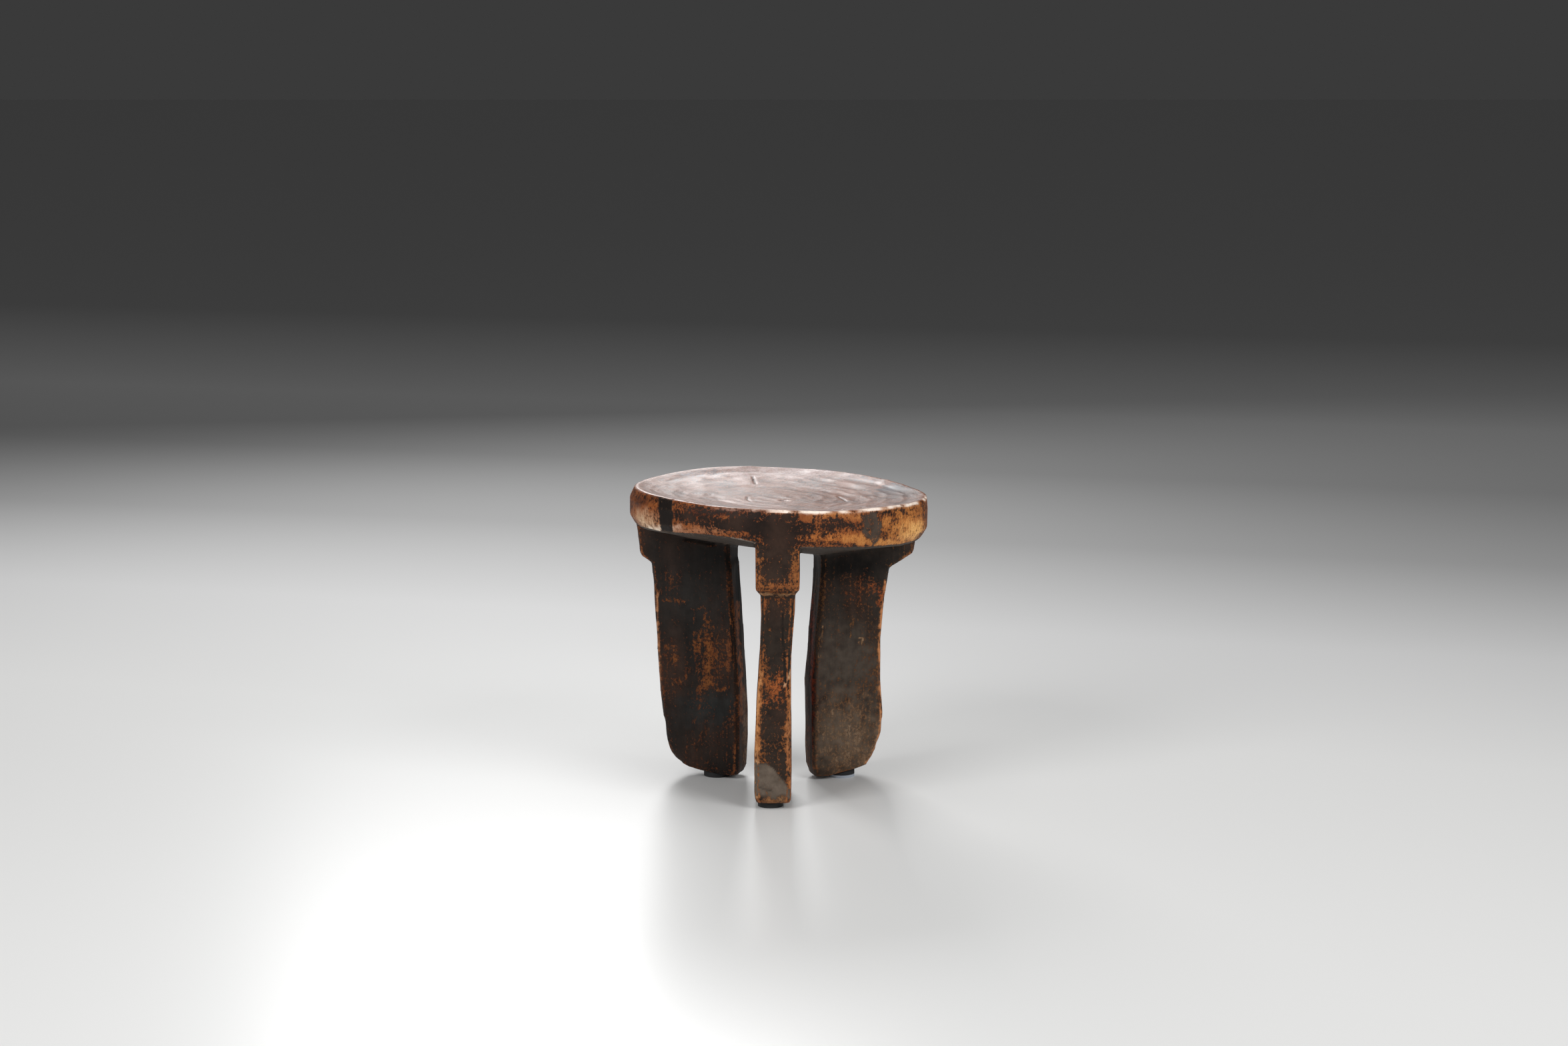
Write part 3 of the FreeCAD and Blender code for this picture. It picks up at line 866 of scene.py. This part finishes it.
def opaque(hex_colour):
    """Linear colour with full alpha for a colour socket."""
    return (*linear(hex_colour), 1)


# %% The carved wood
fibre_width_mm = 1.1
fibre_length_mm = 16
speckle_mm = 2.4
blotch_mm = 11
ring_mm = 9
ring_waver_mm = 5
streak_stretch = 0.85
bump_distance = 0.45 * MM

# Hewn hardwood under a worn coat: to the eye a warm, speckled brown that turns pale only where the
# light grazes it, so it reflects less than clean wood would from in front.
carved_wood, tree, shader = new_material("oiled_carved_hardwood")
place = add(tree, "TexCoord").outputs["Object"]
along_grain = add(tree, "Mapping", {"Vector": place, "Scale": (1, 1, fibre_width_mm / fibre_length_mm)})
fibres = add(tree, "TexNoise", {"Vector": along_grain.outputs[0], "Scale": 1 / (fibre_width_mm * MM),
                                "Detail": 3.0, "Roughness": 0.6})
along_streaks = add(tree, "Mapping", {"Vector": place, "Scale": (1, 1, streak_stretch)})
speckle = add(tree, "TexNoise", {"Vector": along_streaks.outputs[0], "Scale": 1 / (speckle_mm * MM),
                                 "Detail": 3.0, "Roughness": 0.8})
blotches = add(tree, "TexNoise", {"Vector": place, "Scale": 1 / (blotch_mm * MM), "Detail": 4.0,
                                  "Roughness": 0.62})
from_pith = add(tree, "VectorMath", {0: place, 1: (1, 1, 0)}, operation="MULTIPLY")
pith_distance = add(tree, "VectorMath", {0: from_pith.outputs[0]}, operation="LENGTH")
wavering = add(tree, "Math", {0: blotches.outputs["Fac"], 1: ring_waver_mm * MM,
                              2: pith_distance.outputs["Value"]}, operation="MULTIPLY_ADD")
rings = add(tree, "TexNoise", {"W": wavering.outputs[0], "Scale": 1 / (ring_mm * MM), "Detail": 3.0,
                               "Roughness": 0.6}, noise_dimensions="1D")
cover_left = add(tree, "Attribute", attribute_name="cover").outputs["Fac"]
bare_wood = add(tree, "Attribute", attribute_name="bare").outputs["Color"]
coat_colour = add(tree, "Attribute", attribute_name="coat").outputs["Color"]
gloss_left = add(tree, "Attribute", attribute_name="gloss").outputs["Fac"]

# %% Where the coat breaks up, and the amber stain round each speck of it
grainy = add(tree, "Math", {0: blotches.outputs["Fac"], 1: 0.38, 2: speckle.outputs["Fac"]},
             operation="MULTIPLY_ADD")
threshold = add(tree, "MapRange", {"Value": cover_left, "To Min": 0.98, "To Max": 0.44})
over = add(tree, "Math", {0: grainy.outputs[0], 1: threshold.outputs[0]}, operation="SUBTRACT")
stained = add(tree, "MapRange", {"Value": over.outputs[0], "From Min": -0.22, "From Max": -0.02})
broken = add(tree, "MapRange", {"Value": over.outputs[0], "From Min": -0.05, "From Max": 0.07})
lines = add(tree, "Math", {0: rings.outputs["Fac"], 1: 0.5, 2: fibres.outputs["Fac"]},
            operation="MULTIPLY_ADD")
line_share = add(tree, "MapRange", {"Value": lines.outputs[0], "From Min": 0.3, "From Max": 1.2})
bare_toned = add(tree, "Mix", {0: line_share.outputs[0], 6: bare_wood, 7: (0.10, 0.055, 0.03, 1)},
                 data_type="RGBA", blend_type="SOFT_LIGHT")
amber = add(tree, "Mix", {0: stained.outputs[0], 6: bare_toned.outputs[2], 7: (0.66, 0.55, 0.46, 1)},
            data_type="RGBA", blend_type="MULTIPLY")
coat_toned = add(tree, "Mix", {0: 1.0, 6: coat_colour, 7: blotches.outputs["Fac"]},
                 data_type="RGBA", blend_type="SOFT_LIGHT")
colour = add(tree, "Mix", {0: broken.outputs[0], 6: amber.outputs[2], 7: coat_toned.outputs[2]},
             data_type="RGBA")
tree.links.new(colour.outputs[2], shader.inputs["Base Color"])

# %% Gloss and fine relief, shallower where use has polished the wood
rough = add(tree, "MapRange", {"Value": gloss_left, "To Min": 0.72, "To Max": 0.16})
rough_grain = add(tree, "Math", {0: fibres.outputs["Fac"], 1: 0.12, 2: rough.outputs[0]},
                  operation="MULTIPLY_ADD")
tree.links.new(rough_grain.outputs[0], shader.inputs["Roughness"])
shader.inputs["Specular IOR Level"].default_value = 0.2

ring_relief = add(tree, "Math", {0: rings.outputs["Fac"], 1: 0.45, 2: fibres.outputs["Fac"]},
                  operation="MULTIPLY_ADD")
height = add(tree, "Math", {0: ring_relief.outputs[0], 1: broken.outputs[0]}, operation="ADD")
polished = add(tree, "MapRange", {"Value": gloss_left, "From Min": 0.35, "From Max": 0.85,
                                  "To Min": 0.4, "To Max": 0.07})
bump = add(tree, "Bump", {"Height": height.outputs[0], "Distance": bump_distance,
                          "Strength": polished.outputs[0]})
tree.links.new(bump.outputs[0], shader.inputs["Normal"])
print(carved_wood.name, "nodes:", len(tree.nodes))

# %% [markdown]
# ## Back to four members
#
# The carved skin is divided again where the measured solids are divided, so that each member has its
# own piece. Points along the division keep the directions that they had in the whole skin, so no seam
# shows, and the open ends inside the wood are capped.

# %% Divide the block
block.data.materials.append(carved_wood)
face_points = np.empty(len(block.data.loops), int)
block.data.loops.foreach_get("vertex_index", face_points)
face_owner = owner[face_points.reshape(-1, 4)[:, 0]]
carved = {}
bpy.context.tool_settings.mesh_select_mode = (False, False, True)
for index, node in enumerate(wood_nodes[1:], 1):
    select_points(block, np.zeros(len(block.data.vertices), bool))
    block.data.polygons.foreach_set("select", face_owner == index)
    pick(block)
    bpy.ops.object.mode_set(mode="EDIT")
    bpy.ops.mesh.separate(type="SELECTED")
    bpy.ops.object.mode_set(mode="OBJECT")
    face_owner = face_owner[face_owner != index]
    carved[node] = next(piece for piece in bpy.context.selected_objects if piece != block)
carved["seat"] = block
print("members:", list(carved))

# %% Cap the members and hand them to the frame
for node, piece in carved.items():
    piece.name = "carved_" + node
    piece.data.name = piece.name
    pick(piece)
    bpy.ops.object.mode_set(mode="EDIT")
    bpy.context.tool_settings.mesh_select_mode = (False, True, False)
    bpy.ops.mesh.select_all(action="DESELECT")
    bpy.ops.mesh.select_non_manifold(extend=False, use_wire=False, use_multi_face=False,
                                     use_non_contiguous=False, use_verts=False)
    bpy.ops.mesh.fill_holes(sides=0)
    bpy.ops.mesh.quads_convert_to_tris()
    bpy.ops.object.mode_set(mode="OBJECT")
    piece.data.polygons.foreach_set("use_smooth", np.ones(len(piece.data.polygons), bool))
    outward = np.empty(len(piece.data.vertices) * 3)
    piece.data.attributes["skin"].data.foreach_get("vector", outward)
    piece.data.normals_split_custom_set_from_vertices(outward.reshape(-1, 3))
    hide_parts(node)
    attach(piece, "root")
    print(piece.name, "faces", len(piece.data.polygons))

# %% [markdown]
# ## The pads
#
# Later owners stuck glides under the feet: black rubber in front and behind on the left, pale felt
# behind on the right. Moulded rubber is near black with dust in its fine grain. Pressed felt is a
# cloth of short fibres, so its colour and its surface are mottled at less than a millimetre. Above its
# thin pale sole the felt pad is painted near black, a painted shadow of the foot that overhangs it. The
# pads' edges are rounded by a bevel. Pictures of rubber and felt would do as well, but one fine noise
# each needs no unwrapping.

# %% Materials of the pads


def mottled(name, low_hex, high_hex, grain_mm, roughness, relief_mm):
    """Material whose colour, roughness and relief follow one fine noise."""
    material, tree, shader = new_material(name)
    place = add(tree, "TexCoord").outputs["Object"]
    grain = add(tree, "TexNoise", {"Vector": place, "Scale": 1 / (grain_mm * MM), "Detail": 4.0,
                                   "Roughness": 0.65})
    tone = add(tree, "Mix", {0: grain.outputs["Fac"], 6: opaque(low_hex), 7: opaque(high_hex)},
               data_type="RGBA")
    tree.links.new(tone.outputs[2], shader.inputs["Base Color"])
    rough = add(tree, "MapRange", {"Value": grain.outputs["Fac"], "To Min": roughness[0],
                                   "To Max": roughness[1]})
    tree.links.new(rough.outputs[0], shader.inputs["Roughness"])
    bump = add(tree, "Bump", {"Height": grain.outputs["Fac"], "Distance": relief_mm * MM,
                              "Strength": 0.5})
    tree.links.new(bump.outputs[0], shader.inputs["Normal"])
    return material


# Moulded rubber: nearly black and dull, with a faint shine where dust hasn't settled.
rubber = mottled("black_moulded_rubber", "0e0e10", "2c2b2c", 0.8, (0.4, 0.7), 0.1)
# Pressed felt: a pale, quite matt sole, with a band of painted shadow above it.
felt = mottled("pale_pressed_felt", "8e97a6", "ccd2da", 0.5, (0.85, 1.0), 0.3)

# %% Painted shadow above the felt's pale sole
sole_height = 2.6 * MM
tree = felt.node_tree
shader = tree.nodes["Principled BSDF"]
sole = shader.inputs["Base Color"].links[0].from_socket
height_on_pad = add(tree, "SeparateXYZ", {0: add(tree, "TexCoord").outputs["Object"]})
painted_shadow_share = add(tree, "MapRange", {"Value": height_on_pad.outputs["Z"], "From Min": sole_height,
                                 "From Max": 1.15 * sole_height})
# painted shadow: above the sole the pad is coloured near-black 2a2a2c, the shade under the overhanging
# foot
felt_with_painted_shadow = add(tree, "Mix", {0: painted_shadow_share.outputs[0], 6: sole, 7: opaque("2a2a2c")}, data_type="RGBA")
tree.links.new(felt_with_painted_shadow.outputs[2], shader.inputs["Base Color"])
print("pad materials:", rubber.name, felt.name)

# %% Pads
pad_edge = 0.7 * MM
for node, material, slot in (("pad_front", rubber, "dark_pad"), ("pad_rear_left", rubber, "dark_pad"),
                             ("pad_rear_right", felt, "pale_pad")):
    pad = merged_copy(node, "glide_" + node)
    pad.data.materials.append(material)
    apply_modifier(pad, "BEVEL", width=pad_edge, segments=3, limit_method="ANGLE",
                   angle_limit=math.radians(50))
    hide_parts(node)
    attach(pad, "root")
    print(pad.name, "faces", len(pad.data.polygons))

# %% [markdown]
# ## Floor and light
#
# The stool stands on a pale satin floor. One large plane does for floor and backdrop, and its colour
# follows a ramp away from the camera: painted shade that turns it grey behind the stool, where the
# studio's light falls off. Two soft lamps in front light the wood, one above fills, and one behind and
# above grazes the seat, which gives its pale sheen together with sheen painted into the seat's colour.
# The world is darker to the camera and to reflections than to the wood, which it fills with soft light.

# %% Floor
floor_size = 60
fade_from, fade_to = 0.25, 4.9
sideways_share = 0.27
bpy.ops.mesh.primitive_plane_add(size=floor_size, location=(0, 0, 0))
floor = bpy.context.object
floor.name = "floor"
# Satin paint: pale, painted darker away from the camera as shade where the light falls off, with a
# faint gloss that mirrors the feet softly.
floor_paint, tree, shader = new_material("satin_studio_floor")
floor.data.materials.append(floor_paint)
place = add(tree, "TexCoord").outputs["Object"]
apart = add(tree, "SeparateXYZ", {0: place})
away = add(tree, "Math", {0: apart.outputs["X"], 1: sideways_share, 2: apart.outputs["Y"]},
           operation="MULTIPLY_ADD")
back = add(tree, "MapRange", {"Value": away.outputs[0], "From Min": fade_from, "From Max": fade_to})
# painted shade: the ramp darkens the floor from pale near the stool to grey far behind it
fade = add(tree, "ValToRGB", {0: back.outputs[0]})
fade.color_ramp.elements[0].color = opaque("e5e5e4")
fade.color_ramp.elements[1].color = opaque("787878")
for share, grey in ((0.13, "d8d8d8"), (0.28, "a8a8a8"), (0.44, "929292"), (0.62, "a4a4a4")):
    fade.color_ramp.elements.new(share).color = opaque(grey)
tree.links.new(fade.outputs[0], shader.inputs["Base Color"])
shader.inputs["Roughness"].default_value = 0.32
shader.inputs["Specular IOR Level"].default_value = 0.25
print(floor.name, "of", floor_size, "m in", floor_paint.name)

# %% Lamps and world
bpy.context.scene.view_settings.view_transform = "Standard"


def softbox(name, place, aim, size, power):
    """Square soft lamp at a place, turned towards another, its size in metres and power in watts."""
    bpy.ops.object.light_add(type="AREA", location=place)
    lamp = bpy.context.object
    lamp.name = name
    lamp.data.size = size
    lamp.data.energy = power
    lamp.rotation_euler = (Vector(aim) - Vector(place)).to_track_quat("-Z", "Y").to_euler()
    print(name, power, "W")


softbox("lamp_above", (0.0, -0.2, 2.5), (0, 0, 0.2), 1.6, 11)
softbox("lamp_left", (-1.7, -1.8, 1.9), (0, 0, 0.15), 1.2, 36)
softbox("lamp_right", (1.8, -1.7, 1.8), (0, 0, 0.15), 1.2, 34)
softbox("lamp_behind", (-0.4, 2.2, 1.5), (0, 0, 0.3), 0.9, 34)

world = bpy.data.worlds.new("studio")
bpy.context.scene.world = world
world.use_nodes = True
air = world.node_tree
rays = add(air, "LightPath")
seen = add(air, "Math", {0: rays.outputs["Is Camera Ray"], 1: rays.outputs["Is Glossy Ray"]},
           operation="MAXIMUM")
backdrop = add(air, "Mix", {0: seen.outputs[0], 6: opaque("8a8a8a"), 7: opaque("3a3a3a")},
               data_type="RGBA")
air.links.new(backdrop.outputs[2], air.nodes["Background"].inputs["Color"])
